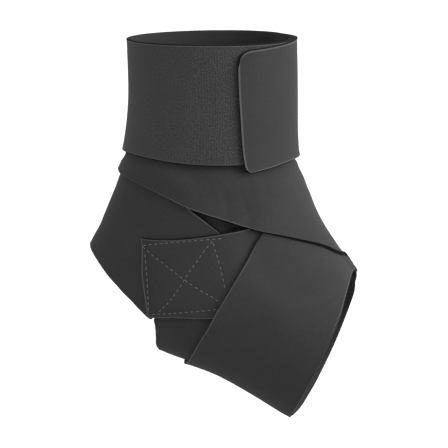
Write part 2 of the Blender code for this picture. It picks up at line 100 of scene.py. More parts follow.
PUFF_FALL = (0.35, 0.85)  # stations past the cuff's end where that begins to fade, and how many it takes
PUFF_FRONT = 0.0026  # how far it swells, at the front
PUFF_BACK = 0.0016  # and at the back
TOE_FLARE = 0.0020  # how far the lateral strap's front toe corner stands off
FLARE_RISE = 12.0  # angle by which the stand-off is full
FLARE_FALL = (28.0, 17.0)  # angle where it begins to fade, and how many degrees it takes
FLARE_ALONG = (7.2, 0.9)  # station where it begins, and how many it takes to be full
RIPPLE = 0.00022  # height of the cloth's soft unevenness

CUFF_LIFT = 0.0043  # height of the cuff, which bridges what it covers
TAB_LIFT = CUFF_LIFT + CLOTH + HOOK_BASE + HOOK_TALL
CUFF_SPLIT = 45.0  # the cuff's cloth is two meshes that meet here
STRAP_SPLIT = 26.0  # and so is the lateral strap's

# Gel packs, and the sleeves they stand in.  Both are bent about an upright axis.
SLEEVE_BEND = 0.060  # radius of a sleeve's outer face
SLEEVE_REACH = 0.033  # from the leg's middle plane to a sleeve's outer face
SLEEVE_MIDDLE = -0.001  # x of its middle
SLEEVE_HALF_WIDTH = 0.0250
SLEEVE_DEPTH = 0.0072
SLEEVE_LOW = -0.0152
SLEEVE_HIGH = 0.0560
SLEEVE_WALL = 0.0006
SLEEVE_ROUND = 0.012  # height over which the bottom closes
SLEEVE_SQUARENESS = 2.6  # exponent of its superellipse
SLEEVE_TAPER = 0.0035  # how much narrower the bottom is, on each side
SLEEVE_CREASE = 0.00015  # depth of its creases
MOUTH_TAPE = 0.0060  # height of the tape along a sleeve's mouth
MOUTH_TAPE_WALL = 0.0004
PACK_HALF_WIDTH = 0.0220
PACK_LOW = -0.0120
PACK_HIGH = 0.0620
PACK_HALF_DEPTH = 0.0019
PACK_CORNER = 0.007
PACK_ROUND = 0.011  # distance in from its edge at which it is fully plump
PACK_EDGE = 0.00005  # half its depth at the edge
FILM_GAP = 0.00020  # between the gel and its film
WELD = 0.0012  # width of the film's welded rim
HOOK_SPACING = 0.0014
HOOK_SIDES = 5
HOOK_OUTLINE = ((0.00022, 0.0), (0.00012, 0.00032), (0.00030, 0.00042), (0.00024, 0.00056))  # radius, depth

# Camera and stage
CAMERA_AZIMUTH = 9.0
CAMERA_ELEVATION = 10.0
CAMERA_DISTANCE = 1.2
CAMERA_TARGET = Vector((0.006, 0.0, 0.0253))
FOCAL_LENGTH = 175.0
FLOOR_HEIGHT = -0.60
FLOOR_SIZE = 80.0
DOME_LOW, DOME_HIGH = -0.7, -0.05  # slopes of the view between which the pale dome brightens
DOME_STRENGTH = 0.67  # its strength from below, over that from the sides and above
KEY_TOWARDS = (0.90, -0.32, 0.36)
KEY_ANGLE = 50.0
KEY_STRENGTH = 3.6


# ---- the limb surface

def smoothstep(x):
    x = np.clip(x, 0.0, 1.0)
    return x * x * (3 - 2 * x)


def superellipse(value, exponent):
    """A sine or cosine, made to go round a superellipse."""
    return np.sign(value) * np.abs(value) ** (2 / exponent)


def through(start, middle, end, t):
    """Parabola from start to end with middle halfway."""
    return start + (end - start) * t + (4 * middle - 2 * start - 2 * end) * t * (1 - t)


def lengths(vectors):
    return np.linalg.norm(vectors, axis=-1)


def section_at(station):
    """Catmull-Rom interpolation of SECTIONS along the limb."""
    last = len(SECTIONS) - 1
    station = np.clip(np.asarray(station, float), 0.0, last)
    i = np.clip(np.floor(station).astype(int), 0, last - 1)
    u = (station - i)[..., None]
    rows = np.vstack((2 * SECTIONS[0] - SECTIONS[1], SECTIONS, 2 * SECTIONS[-1] - SECTIONS[-2]))
    a, b, c, d = rows[i], rows[i + 1], rows[i + 2], rows[i + 3]
    return 0.5 * (2 * b + (c - a) * u + (2 * a - 5 * b + 4 * c - d) * u**2
                  + (3 * b - a - 3 * c + d) * u**3)


def puff(station):
    """Share of the swelling just below the cuff."""
    past = station - CUFF_END
    return smoothstep(past / PUFF_RISE) * (1 - smoothstep((past - PUFF_FALL[0]) / PUFF_FALL[1]))


def skin(angle, station, swollen=True):
    """Point on the limb surface, the inside face of the lowest cloth layer."""
    angle, station = np.broadcast_arrays(np.radians(angle), station)
    row = section_at(station)
    along = superellipse(np.cos(angle), SQUARENESS)
    across = superellipse(np.sin(angle), SQUARENESS)
    taper = 1 - row[..., 5] * (0.5 - 0.5 * along) ** 2
    front, back = row[..., 0:2], row[..., 2:4]
    x_z = 0.5 * (front + back) + 0.5 * (front - back) * along[..., None]
    swell = puff(station) * swollen
    x = x_z[..., 0] + swell * along * np.where(along > 0, PUFF_FRONT, PUFF_BACK)
    y = row[..., 4] * across * taper + swell * across * PUFF_BACK
    return np.stack((x, y, x_z[..., 1]), -1)


def steps(angle, station, swollen=True):
    """Change of the skin point for one degree and for one station."""
    for_degree = skin(angle + 0.5, station, swollen) - skin(angle - 0.5, station, swollen)
    for_station = (skin(angle, station + 0.05, swollen) - skin(angle, station - 0.05, swollen)) / 0.1
    return for_degree, for_station


def ripple(points):
    """Soft unevenness that all the layers share, as worn cloth has, in metres of height."""
    x, y, z = (points[..., k] for k in range(3))
    waves = (np.sin(41 * x + 93 * z + 0.7) * np.sin(77 * y - 38 * z + 1.9)
             + 0.6 * np.sin(128 * z - 61 * x + 2.2) * np.sin(97 * y + 49 * x + 0.4)
             + 0.4 * np.sin(171 * x + 143 * z + 4.0) * np.sin(133 * y + 0.9))
    return RIPPLE * waves


def surface(angle, station, height, swollen=True):
    """Point at a height above the skin."""
    for_degree, for_station = steps(angle, station, swollen)
    normal = np.cross(for_station, for_degree)
    normal /= np.linalg.norm(normal, axis=-1, keepdims=True)
    base = skin(angle, station, swollen)
    return base + normal * (np.asarray(height) + ripple(base))[..., None]


# ---- bands of cloth

def edge_curve(points):
    """Smooth curve of station over angle through a few (angle, station) points."""
    angles, stations = np.array(points, float).T
    slopes = np.gradient(stations, angles)

    def at(angle):
        angle = np.clip(angle, angles[0], angles[-1])
        i = np.clip(np.searchsorted(angles, angle, side="right") - 1, 0, len(angles) - 2)
        width = angles[i + 1] - angles[i]
        u = (angle - angles[i]) / width
        return ((2 * u**3 - 3 * u**2 + 1) * stations[i] + (u**3 - 2 * u**2 + u) * width * slopes[i]
                + (3 * u**2 - 2 * u**3) * stations[i + 1] + (u**3 - u**2) * width * slopes[i + 1])

    return at


def mirrored(points):
    """The same edge on the other side of the limb."""
    return [(-angle, station) for angle, station in reversed(points)]


def round_front(half):
    """An edge round the front of the limb, from its lateral half."""
    return half + mirrored(half)[1:]


def round_back(half):
    """An edge round the back of the limb, from its medial half."""
    return half + [(360 - angle, station) for angle, station in reversed(half[:-1])]


def end_line(end):
    """Curve of an end's angle over the fraction across.

    It comes from (fraction, angle) points, from the top, middle and bottom angles, or from one angle.
    """
    if isinstance(end, list):
        return edge_curve(end)
    top, middle, bottom = end if isinstance(end, tuple) else (end, end, end)
    return lambda v: through(top, middle, bottom, v)


class Band:
    """A strip of cloth between two edge curves and two end lines, lying over other bands."""

    HELD_OUT = 0.0012  # the cloth stays at full height this far past an edge that it covers

    def __init__(self, start, end, top, bottom, over=(), thickness=CLOTH, gap=LAYER_GAP, lift=0.0,
                 drape=0.016, corner_start=0.0, corner_end=0.0, lower_corner=1.0, cell=CELL, rise=None,
                 bridges=False, flare=False, square_start=False):
        self.start = end_line(start)
        self.end = end_line(end)
        self.top = edge_curve(top)
        self.bottom = edge_curve(bottom)
        self.over = over
        self.thickness = thickness
        self.gap = gap
        self.least_lift = lift
        self.drape = drape  # distance over which the cloth comes down from what it covers
        self.corner_start = corner_start
        self.corner_end = corner_end
        self.lower_corner = lower_corner  # radius of a lower corner over that of the upper one
        self.cell = cell
        self.rise = rise  # angles between which the least lift rises to the tab's
        self.swollen = not bridges  # whether the cloth follows the limb's swelling
        self.flare = flare  # whether the cloth stands off at its front toe corner
        self.square_start = square_start  # a square end meets the next stretch of the same cloth
        self.square_end = False
        self.dimples = None  # points on the skin that a row of stitches pulls down

    def part(self, start, end):
        """The stretch of the same cloth between two angles."""
        piece = copy.copy(self)
        if start is not None:
            piece.start, piece.corner_start, piece.square_start = end_line(start), 0.0, True
        if end is not None:
            piece.end, piece.corner_end, piece.square_end = end_line(end), 0.0, True
        return piece

    def reach(self, angle, station):
        """Distance inside the outline, negative outside it, taking the nearest turn of the angle."""
        degree, metre = (lengths(change) for change in steps(angle, station))
        return np.maximum.reduce([self.reach_at(angle + turn, station, degree, metre)
                                  for turn in (-360, 0, 360)])

    def reach_at(self, angle, station, degree, metre):
        top, bottom = self.top(angle), self.bottom(angle)
        v = np.clip((station - top) / (bottom - top), 0, 1)
        distances = [(angle - self.start(v)) * degree, (self.end(v) - angle) * degree]
        for edge, inside in ((self.top, station - top), (self.bottom, bottom - station)):
            slope = (edge(angle + 1) - edge(angle - 1)) / 2 * metre / degree
            distances.append(inside * metre / np.hypot(1, slope))
        return np.minimum.reduce(distances)

    def lift(self, angle, station):
        """Height of the inside face above the skin."""
        height = np.full(np.broadcast(angle, station).shape, self.least_lift)
        if self.rise is not None:
            low, high = self.rise
            height += (TAB_LIFT - self.least_lift) * smoothstep((angle - low) / (high - low))
        for lower in self.over:
            cover = smoothstep((lower.reach(angle, station) + self.HELD_OUT + self.drape) / self.drape)
            clear = lower.lift(angle, station) + lower.thickness + self.gap
            height = np.maximum(height, cover * clear)
        if self.flare:
            along = smoothstep((station - FLARE_ALONG[0]) / FLARE_ALONG[1])
            fade = smoothstep((angle - FLARE_FALL[0]) / FLARE_FALL[1])
            height = height + TOE_FLARE * smoothstep(angle / FLARE_RISE) * (1 - fade) * along
        return height

    def dimpled_lift(self, angle, station):
        """The same where stitching pulls the cloth down."""
        height = self.lift(angle, station)
        if self.dimples is not None:
            height = height - DIMPLE * near_stitches(skin(angle, station), self.dimples)
        return height

    def place(self, u, v):
        """Angle and station at a fraction along and a fraction across the band."""
        start, end = self.start(v), self.end(v)
        angle = start + (end - start) * u
        return angle, self.top(angle) + (self.bottom(angle) - self.top(angle)) * v

    def widths(self, u):
        """Distance across the band at fractions along it."""
        u, v = np.meshgrid(u, np.linspace(0, 1, 30), indexing="ij")
        places = skin(*self.place(u, v))
        return lengths(np.diff(places, axis=1)).sum(axis=1)

    def size(self):
        """Length along the middle and greatest width."""
        u = np.linspace(0, 1, 120)
        middle = skin(*self.place(u, np.full(120, 0.5)))
        return lengths(np.diff(middle, axis=0)).sum(), self.widths(u).max()

    def columns(self, length):
        """Fractions along the band, close together at its cut ends and round corners."""
        middle = np.linspace(0, length, max(4, round(length / self.cell)) + 1)
        start, low = end_steps(self.cell, self.corner_start, self.square_start)
        end, high = end_steps(self.cell, self.corner_end, self.square_end)
        inner = middle[(middle > max(low, 1e-9)) & (middle < length - max(high, 1e-9))]
        return np.concatenate((start, inner, [length - step for step in reversed(end)])) / length

    def grid(self):
        """Angles, stations, heights and cloth coordinates of the cloth's inside face."""
        length, width = self.size()
        u = self.columns(length)
        local = self.widths(u)
        ends = (self.corner_start, u * length), (self.corner_end, (1 - u) * length)
        upper = np.maximum(*(corner_inset(corner, far) for corner, far in ends))
        lower = np.maximum(*(corner_inset(corner * self.lower_corner, far) for corner, far in ends))
        free = (local - upper - lower)[:, None]
        edge = np.minimum(EDGE_CELL / free, 0.15)
        inner = np.linspace(0, 1, max(4, round(width / self.cell)))
        v = np.hstack((0 * edge, edge, 2 * edge + (1 - 4 * edge) * inner, 1 - edge, 1 + 0 * edge))
        from_edge = np.minimum(v, 1 - v) * free
        across = v * free + upper[:, None]
        u, local = (np.broadcast_to(values[:, None], v.shape) for values in (u, local))
        angle, station = self.place(u, across / local)
        height = self.dimpled_lift(angle, station)
        if self.thickness == CLOTH:
            height = height + EDGE_CURL * np.exp(-from_edge / EDGE_CURL_WIDTH)
        return angle, station, height, u * length, across


def end_steps(cell, corner, square):
    """Distances from an end at which its narrow cells begin, and how far they reach."""
    if corner:
        return corner_steps(corner), corner * 0.95
    if square:
        return [0.0], 0.0
    return [0.0, EDGE_CELL, 2 * EDGE_CELL], 2 * EDGE_CELL + cell * 0.3


def corner_inset(radius, from_end):
    """How far a rounded corner draws a side in, at a distance from the end."""
    left = np.clip(radius - from_end, 0, radius)
    return radius - np.sqrt(radius**2 - left**2)


def corner_steps(radius):
    """Distances from an end at which the cells of a rounded corner begin."""
    first = math.acos(1 - min(CORNER_CELL / radius, 0.5))
    return [0.0] + [radius * (1 - math.cos(turn)) for turn in np.linspace(first, math.radians(80), 7)]


def near_stitches(points, stitches):
    """1 on a row of stitches, falling to 0 beside it."""
    flat = points.reshape(-1, 3)
    nearest = np.ones(len(flat))
    for k in range(0, len(stitches), 64):
        nearest = np.minimum(nearest, lengths(flat[:, None] - stitches[None, k:k + 64]).min(axis=1))
    return np.exp(-(nearest / DIMPLE_WIDTH) ** 2).reshape(points.shape[:-1])


# The two long straps have one top edge and its mirror image, and bottom edges of their own.  Each rises
# from the sole, crosses the instep and goes on to the other side of the leg, the medial one on top.
STRAP_TOP_NEAR = [(-206, 7.42), (-180, 7.41), (-150, 7.40), (-140, 7.35), (-130, 7.28), (-122, 7.20),
                  (-116, 7.13), (-110, 7.04), (-104, 6.94), (-95, 6.72), (-88, 6.46), (-80, 6.11),
                  (-70, 5.59), (-64, 5.22), (-56, 4.49), (-48, 3.78), (-42, 3.42), (-30, 2.85), (0, 1.80)]
LATERAL_BOTTOM = [(-206, 9.14), (-180, 9.16), (-150, 9.17), (-110, 9.31), (-85, 9.43), (-66, 9.45),
                  (-46, 9.41), (-32, 9.29), (-16, 9.13), (-8, 9.05), (0, 9.01), (8, 9.00), (14, 9.01),
                  (26, 9.04), (31, 8.40), (38, 6.40), (48, 5.00), (56, 4.50), (66, 4.15)]
MEDIAL_BOTTOM = [(-190, 2.30), (-150, 2.54), (-135, 2.63), (-114, 2.92), (-92, 3.38), (-78, 3.70),
                 (-66, 3.98), (-56, 4.28), (-46, 4.62), (-36, 5.03), (-26, 5.50), (-16, 6.07), (-8, 6.58),
                 (0, 7.06), (8, 7.48), (15, 7.68), (21, 7.80), (25, 8.10), (29, 8.75), (34, 9.20), (40, 9.39),
                 (48, 9.49), (66, 9.54), (90, 9.56), (120, 9.48), (146, 9.37), (160, 9.30), (180, 9.17)]
STRAP_TOP_FAR_SEWN = [(30, 1.30), (60, 1.05), (110, 0.85), (190, 0.75)]

PANEL_FRONT = 75  # angle of the panels' ends, on both sides of the instep
heel_panel = Band(
    PANEL_FRONT, 360 - PANEL_FRONT,
    top=[(75, 1.60), (93, 1.50), (115, 1.30), (131, 1.15), (140, 1.00), (220, 1.00),
         (229, 1.25), (267, 3.34), (270, 3.48), (274, 3.67), (278, 3.87), (282, 4.09), (285, 4.28)],
    bottom=round_back([(75, 6.30), (110, 6.14), (123, 6.16), (127, 6.24), (130, 5.86), (135, 5.56),
                       (142, 5.30), (152, 4.97), (164, 4.76), (180, 4.66)]))
arch_panel = Band(
    PANEL_FRONT, 360 - PANEL_FRONT,
    top=round_back([(75, 6.50), (110, 6.34), (119, 6.28), (125, 6.28), (128, 6.40), (138, 6.66),
                    (150, 6.84), (165, 7.00), (180, 7.06)]),
    bottom=[(75, 8.85), (180, 8.85), (285, 8.85)])
PANELS = (heel_panel, arch_panel)

BAND_END = [(0.00, 117.2), (0.12, 114.8), (0.25, 113.6), (0.50, 115.8), (0.75, 119.6), (1.00, 126.0)]
instep_band = Band(
    [(across, -angle) for across, angle in BAND_END], BAND_END, over=PANELS, cell=FINE_CELL,
    top=round_front([(-126, 4.28), (-94, 4.32), (-76, 4.18), (-56, 4.00), (-30, 3.65), (0, 3.40)]),
    bottom=round_front([(-126, 6.18), (-110, 6.44), (-98, 6.80), (-76, 7.20), (-40, 7.40), (0, 7.40)]))

lateral_strap = Band(
    -205, 48, over=(*PANELS, instep_band), top=STRAP_TOP_NEAR + [(20, 2.02), (40, 2.10), (64, 2.12)],
    bottom=LATERAL_BOTTOM, drape=0.022, flare=True)
medial_strap = Band(
    -188, 177, over=(*PANELS, instep_band, lateral_strap),
    top=mirrored(STRAP_TOP_NEAR + STRAP_TOP_FAR_SEWN), bottom=MEDIAL_BOTTOM)
landing_patch = Band(
    97, 138, over=(heel_panel,), thickness=PATCH, gap=0.0001, corner_start=0.003, corner_end=0.006,
    top=[(97, 3.38), (104, 2.96), (114, 2.60), (138, 2.55)], bottom=[(97, 4.02), (138, 3.98)])
strap_hooks = Band(
    101, 134, over=(heel_panel, landing_patch), thickness=HOOK_BASE, gap=HOOK_TALL,
    corner_start=0.003, corner_end=0.005,
    top=[(101, 3.05), (108, 2.72), (134, 2.66)], bottom=[(101, 3.90), (134, 3.88)])
strap_end = Band(
    STRAP_SPLIT, 140, over=(heel_panel, instep_band, landing_patch, strap_hooks), corner_end=0.014,
    square_start=True,
    top=[(20, 2.02), (40, 2.10), (64, 2.12), (90, 2.15), (120, 2.28), (140, 2.42)],
    bottom=[(20, 5.88), (36, 5.08), (56, 4.62), (66, 4.48), (80, 4.28), (100, 4.12), (140, 4.05)])

CUFF_TOP = [(-180, 0.03), (540, 0.03)]
CUFF_BOTTOM = [(-180, 1.88), (-150, 1.87), (-120, 1.90), (-105, 1.93), (-90, 1.955), (-75, 1.965),
               (-60, 1.965), (12, 1.95), (180, 1.88)]
cuff_loop = Band(-179, 12, top=CUFF_TOP, bottom=CUFF_BOTTOM, lift=CUFF_LIFT, bridges=True)
cuff_wrap = Band(
    (-63.8, -62.4, -57.5), 180, lift=CUFF_LIFT, bridges=True, rise=(36, 14), corner_start=0.006,
    lower_corner=0.45, top=[(-64, 0.13), (-30, 0.07), (0, 0.03), (180, 0.03)],
    bottom=[(-64, 2.20), (-60, 2.19), (-50, 2.135), (-40, 2.085), (-30, 2.03), (-20, 2.00), (-5, 2.00),
            (40, 1.95), (95, 1.92), (180, 1.88)])
closure_hooks = Band(
    -57, -14, thickness=HOOK_BASE, lift=CUFF_LIFT + CLOTH + HOOK_TALL - 0.0001, corner_start=0.004,
    top=[(-57, 0.28), (-14, 0.14)], bottom=[(-57, 1.95), (-14, 1.88)])


# ---- materials

class Look:
    """A Principled material under construction."""

    def __init__(self, name, colour, roughness, specular=0.5, sheen=0.0, **sockets):
        self.material = bpy.data.materials.new(name)
        self.material.use_nodes = True
        self.nodes = self.material.node_tree.nodes
        self.links = self.material.node_tree.links
        self.shader = self.nodes["Principled BSDF"]
        self.colour = (*colour, 1.0)
        values = {"Base Color": self.colour, "Roughness": roughness, "Specular IOR Level": specular,
                  "Sheen Weight": sheen, **sockets}
        for socket, value in values.items():
            self.shader.inputs[socket.replace("_", " ")].default_value = value
        self.cloth_map = self.node("ShaderNodeUVMap")
        self.place = self.node("ShaderNodeTexCoord")

    def node(self, kind, **values):
        """A node with values for its sockets and settings."""
        made = self.nodes.new(kind)
        for key, value in values.items():
            socket = key.replace("_", " ")
            if socket in made.inputs:
                made.inputs[socket].default_value = value
            else:
                setattr(made, key, value)
        return made

    def mapped(self, stretch):
        """Cloth coordinates in metres, stretched."""
        mapping = self.node("ShaderNodeMapping", Scale=(*stretch, 1.0))
        self.links.new(self.cloth_map.outputs["UV"], mapping.inputs["Vector"])
        return mapping.outputs["Vector"]

    def noise(self, size, detail=2.0, stretch=None, rough=0.5):
        """Noise with features of a size in metres, in the object's space or along the cloth."""
        noise = self.node("ShaderNodeTexNoise", Scale=1 / size, Detail=detail, Roughness=rough)
        vector = self.place.outputs["Object"] if stretch is None else self.mapped(stretch)
        self.links.new(vector, noise.inputs["Vector"])
        return noise.outputs["Fac"]

    def ribs(self, pitch, direction, distortion):
        """Waves along the cloth, a pitch in metres apart."""
        wave = self.node("ShaderNodeTexWave", wave_type="BANDS", bands_direction=direction,
                         wave_profile="SIN", Scale=math.pi / 10 / pitch, Distortion=distortion,
                         Detail=1.0, Detail_Scale=0.6)
        self.links.new(self.mapped((1.0, 1.0)), wave.inputs["Vector"])
        return wave.outputs["Fac"]

    def maths(self, operation, a, b):
        """Two values or numbers combined."""
        made = self.node("ShaderNodeMath", operation=operation)
        for socket, value in zip(made.inputs, (a, b)):
            if isinstance(value, (int, float)):
                socket.default_value = value
            else:
                self.links.new(value, socket)
        return made.outputs["Value"]

    def spread(self, value, low, high, to_low=0.0, to_high=1.0):
        """A value brought from one range to another."""
        made = self.node("ShaderNodeMapRange", From_Min=low, From_Max=high, To_Min=to_low, To_Max=to_high)
        self.links.new(value, made.inputs["Value"])
        return made.outputs["Result"]

    def shade(self, factors):
        """The base colour times each factor."""
        total = factors[0]
        for factor in factors[1:]:
            total = self.maths("MULTIPLY", total, factor)
        scale = self.node("ShaderNodeVectorMath", operation="SCALE")
        scale.inputs[0].default_value = self.colour[:3]
        self.links.new(total, scale.inputs["Scale"])
        self.links.new(scale.outputs["Vector"], self.shader.inputs["Base Color"])

    def bump(self, layers):
        """Bumps, each a height value and a depth in metres."""
        normal = None
        for height, depth in layers:
            bump = self.node("ShaderNodeBump", Strength=1.0, Distance=depth)
            self.links.new(height, bump.inputs["Height"])
            if normal is not None:
                self.links.new(normal, bump.inputs["Normal"])
            normal = bump.outputs["Normal"]
        self.links.new(normal, self.shader.inputs["Normal"])


def stretch_knit(name):
    """Smooth jersey face of the neoprene: fine wales, fuzz, and a faint mottle."""
    look = Look(name, (0.0266, 0.0266, 0.0270), 0.80, 0.12, 0.05, Sheen_Roughness=0.5)
    wales = look.ribs(0.00062, "X", 1.0)
    courses = look.ribs(0.00048, "Y", 1.0)
    knit = look.maths("ADD", look.maths("MULTIPLY", wales, 0.6), look.maths("MULTIPLY", courses, 0.4))
    fuzz = look.noise(0.0011, 3.0)
    mottle = look.noise(0.014, 2.0)
    look.shade([
        look.spread(knit, 0.0, 1.0, 0.95, 1.05),
        look.spread(fuzz, 0.3, 0.7, 0.91, 1.09),
        look.spread(mottle, 0.3, 0.7, 0.96, 1.04)])
    look.bump([(knit, 0.00003), (fuzz, 0.00008)])
    return look.material


def grained(name, colour, finish, size, detail, contrast, depth, **sockets):
    """A material whose colour and height vary with one noise; its finish is roughness, specular, sheen."""
    look = Look(name, colour, *finish, **sockets)
    grain = look.noise(size, detail)
    look.shade([look.spread(grain, 0.3, 0.7, *contrast)])
    look.bump([(grain, depth)])
    return look.material


def inside_lining(name, brightness=1.0):
    """Smooth jersey on the inside."""
    grey = 0.0240 * brightness
    look = Look(name, (grey, grey, grey * 1.02), 0.82, 0.12, 0.05)
    wales = look.ribs(0.0008, "X", 0.8)
    mottle = look.noise(0.012, 2.0)
    look.shade([look.spread(wales, 0.0, 1.0, 0.92, 1.08), look.spread(mottle, 0.3, 0.7, 0.94, 1.06)])
    look.bump([(wales, 0.00006)])
    return look.material


def loop_cloth(name):
    """Brushed loop cloth: upright ribs broken up by tufts, with painted shade darkening it towards the
    closure tab, and worn, raised loops there.
    """
    look = Look(name, (0.0335, 0.0335, 0.0341), 0.92, 0.10, 0.08, Sheen_Roughness=0.6)
    ribs = look.ribs(0.00112, "X", 2.2)
    tufts = look.noise(0.00075, 2.0, stretch=(1.4, 0.8), rough=0.7)
    specks = look.noise(0.00095, 1.0, stretch=(1.0, 1.0))
    along = look.node("ShaderNodeSeparateXYZ")
    look.links.new(look.cloth_map.outputs["UV"], along.inputs["Vector"])
    patches = look.maths("MULTIPLY", look.noise(0.016, 2.0), 0.05)
    # Painted shade: towards the closure tab the loop cloth is darkened, standing for the shadow beside the
    # tab. The same mask brings out worn, raised loops there.
    shade_and_wear_near_closure = look.spread(look.maths("ADD", along.outputs["X"], patches), 0.045, 0.095)
    raised = look.maths("MULTIPLY", look.spread(specks, 0.38, 0.66), shade_and_wear_near_closure)
    wear = look.noise(0.011, 3.0)
    look.shade([
        look.spread(ribs, 0.0, 1.0, 0.92, 1.08),
        look.spread(tufts, 0.25, 0.75, 0.70, 1.30),
        # the painted shade towards the closure tab
        look.spread(shade_and_wear_near_closure, 0.0, 1.0, 1.04, 0.78),
        look.spread(raised, 0.0, 1.0, 0.94, 1.60),
        look.spread(wear, 0.3, 0.7, 0.95, 1.05)])
    look.bump([(ribs, 0.00008), (tufts, 0.00020), (raised, 0.00015)])
    return look.material


def sleeve_mesh(name):
    """Black open mesh, as round holes in a knit."""
    look = Look(name, (0.038, 0.038, 0.0388), 0.85, 0.2, 0.15)
    holes = look.node("ShaderNodeTexVoronoi", feature="F1", Scale=1 / 0.0015, Randomness=0.15)
    look.links.new(look.mapped((1.0, 1.0)), holes.inputs["Vector"])
    rim = look.spread(holes.outputs["Distance"], 0.20, 0.50)
    patches = look.noise(0.010)
    look.shade([look.spread(rim, 0.0, 1.0, 0.75, 1.15), look.spread(patches, 0.3, 0.7, 0.9, 1.1)])
    look.bump([(rim, 0.00012)])
    return look.material


KNIT = stretch_knit("stretch_knit")
# Grained: name, colour, finish, the grain's size and detail, darkest and lightest shade, depth of the bumps
# Painted highlight: a lighter strip along each cut edge of the cloth, where light catches the rounded edge.
EDGE_HIGHLIGHT = grained("painted_edge_highlight", (0.060, 0.060, 0.0613), (0.70, 0.2, 0.1), 0.0009, 2.0, (0.85, 1.15), 0.00010)
FOAM = grained("foam_edge", (0.0065, 0.0065, 0.0068), (0.90, 0.08), 0.0004, 2.0, (0.6, 1.4), 0.00010)
LINING = inside_lining("inside_lining")
STRAP_RIM = inside_lining("strap_rim", 0.55)
LOOP = loop_cloth("loop_cloth")
HOOK = grained("hook_plastic", (0.016, 0.016, 0.017), (0.45,), 0.0008, 2.0, (0.8, 1.2), 0.00006)
MESH = sleeve_mesh("sleeve_mesh")
THREAD_GREY = grained("thread", (0.105, 0.105, 0.107), (0.60, 0.2, 0.1), 0.00035, 1.0, (0.7, 1.3), 0.00008)
GEL = grained("cold_gel", (0.012, 0.130, 0.360), (0.22,), 0.008, 3.0, (0.8, 1.25), 0.0004,
              Subsurface_Weight=0.25, Subsurface_Scale=0.004)
FILM = grained("pack_film", (0.85, 0.92, 0.97), (0.12,), 0.006, 3.0, (0.92, 1.08), 0.0003, Alpha=0.28)


# ---- making pieces

def in_scene(name, data):
    """A new object in the scene."""
    made = bpy.data.objects.new(name, data)
    bpy.context.scene.collection.objects.link(made)
    return made


def new_object(name, vertices, faces, materials, uvs=None, face_materials=None, smooth=True):
    """A mesh object from rows or grids of vertices, and of their two cloth coordinates."""
    mesh = bpy.data.meshes.new(name)
    faces = [[int(corner) for corner in face] for face in faces]
    mesh.from_pydata(np.reshape(vertices, (-1, 3)).tolist(), [], faces)
    for material in materials:
        mesh.materials.append(material)
    if uvs is not None:
        layer = mesh.uv_layers.new(name="UVMap")
        uvs = np.stack(uvs, -1).reshape(-1, 2)
        layer.data.foreach_set("uv", uvs[np.concatenate(faces)].ravel())
    if face_materials is not None:
        mesh.polygons.foreach_set("material_index", np.asarray(face_materials, np.int32))
    if smooth:
        mesh.shade_smooth()
    return in_scene(name, mesh)


def grid_faces(columns, rows):
    """Quads of a grid of points, and the column and row of each."""
    i, j = np.meshgrid(np.arange(columns - 1), np.arange(rows - 1), indexing="ij")
    corner = i * rows + j
    faces = np.stack((corner, corner + 1, corner + rows + 1, corner + rows), -1).reshape(-1, 4)
    return faces, i.ravel(), j.ravel()


def tube_faces(first, rings, sides):
    """Quads round a tube whose vertices come ring by ring."""
    faces = []
    for start in range(first, first + (rings - 1) * sides, sides):
        for k in range(sides):
            a, b = start + k, start + (k + 1) % sides
            faces.append((a, b, b + sides, a + sides))
    return faces


def mark_cut_edges(mesh, band, columns, rows):
    """Weight the border of a grid for the bevel, except where it meets more of the same cloth."""
    ends = np.zeros(len(mesh.edges) * 2, np.int32)
    mesh.edges.foreach_get("vertices", ends)
    column, row = np.divmod(ends.reshape(-1, 2), rows)
    along = (row == 0).all(axis=1) | (row == rows - 1).all(axis=1)
    at_start = (column == 0).all(axis=1)
    at_end = (column == columns - 1).all(axis=1)
    joined = (at_start & band.square_start) | (at_end & band.square_end)
    cut = along | ((at_start | at_end) & ~joined)
    weight = mesh.attributes.new("bevel_weight_edge", "FLOAT", "EDGE")
    weight.data.foreach_set("value", cut.astype(np.float32))
    sharp = mesh.attributes.new("sharp_edge", "BOOLEAN", "EDGE")
    sharp.data.foreach_set("value", joined)


def place_in_model(piece, body, nodes=(), blend=None):
    """Attach a piece to the body it rides on, or, given a blend, bake its transform into its mesh; then hide
    the model's parts that it stands in for.
    """
    if blend is None:
        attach(piece, body)
    else:
        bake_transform(piece)
    if nodes:
        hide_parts(*nodes)


def thicken(piece, thickness):
    """Give a sheet its thickness, outwards from the mesh."""
    solid = piece.modifiers.new("thickness", "SOLIDIFY")
    solid.thickness = thickness
    solid.offset = 1.0
    return solid


